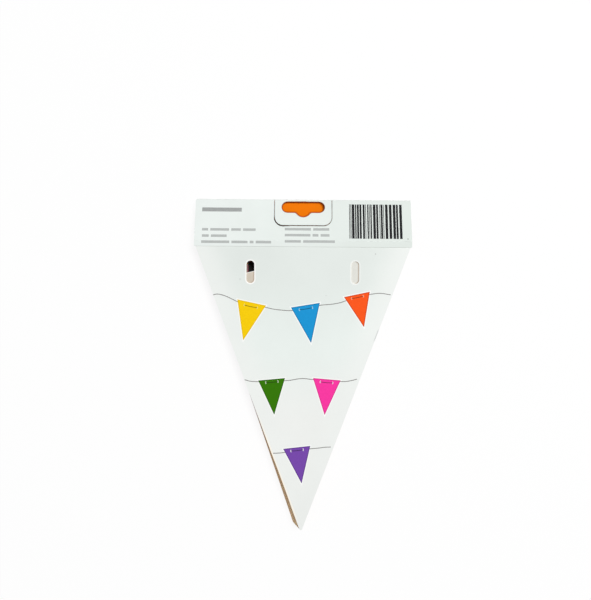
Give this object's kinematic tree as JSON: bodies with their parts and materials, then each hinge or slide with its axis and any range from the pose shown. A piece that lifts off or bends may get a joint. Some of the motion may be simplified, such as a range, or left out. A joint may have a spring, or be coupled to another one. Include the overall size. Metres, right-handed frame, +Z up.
{
  "type": "pack of paper bunting",
  "caption": "Retail pack of paper bunting lying on its front: a fanned stack of triangular card pennants with string slots, a white back card and a folded cover with a cut-out hang tab.",
  "frame": {"origin": "centre of the bounding box on the surface that the pack lies on", "axes": "+Z up out of the pack's back, +Y towards the header, +X to the right seen from the back"},
  "size_m": [0.1276, 0.1946, 0.0135],
  "materials": {
    "cover_board": "white coated card, orange inside",
    "back_board": "white coated card with coloured print",
    "slip_paper": "uncoated white paper",
    "yellow_card": "coloured card, satin",
    "orange_card": "coloured card, satin",
    "pink_card": "coloured card, satin",
    "purple_card": "coloured card, satin",
    "blue_card": "coloured card, satin",
    "green_card": "coloured card, satin"
  },
  "bodies": {
    "root": {"cover": "cover_board", "back_card": "back_board", "paper_slip": "slip_paper", "pennant_01": "yellow_card", "pennant_02": "orange_card", "pennant_03": "pink_card", "pennant_04": "purple_card", "pennant_05": "blue_card", "pennant_06": "green_card", "pennant_07": "yellow_card", "pennant_08": "orange_card", "pennant_09": "pink_card", "pennant_10": "purple_card", "pennant_11": "blue_card", "pennant_12": "green_card", "pennant_13": "yellow_card", "pennant_14": "orange_card", "pennant_15": "pink_card", "pennant_16": "purple_card", "pennant_17": "blue_card", "pennant_18": "green_card", "pennant_19": "yellow_card", "pennant_20": "orange_card", "pennant_21": "pink_card", "pennant_22": "purple_card", "pennant_23": "blue_card", "pennant_24": "green_card"}
  },
  "joints": []
}
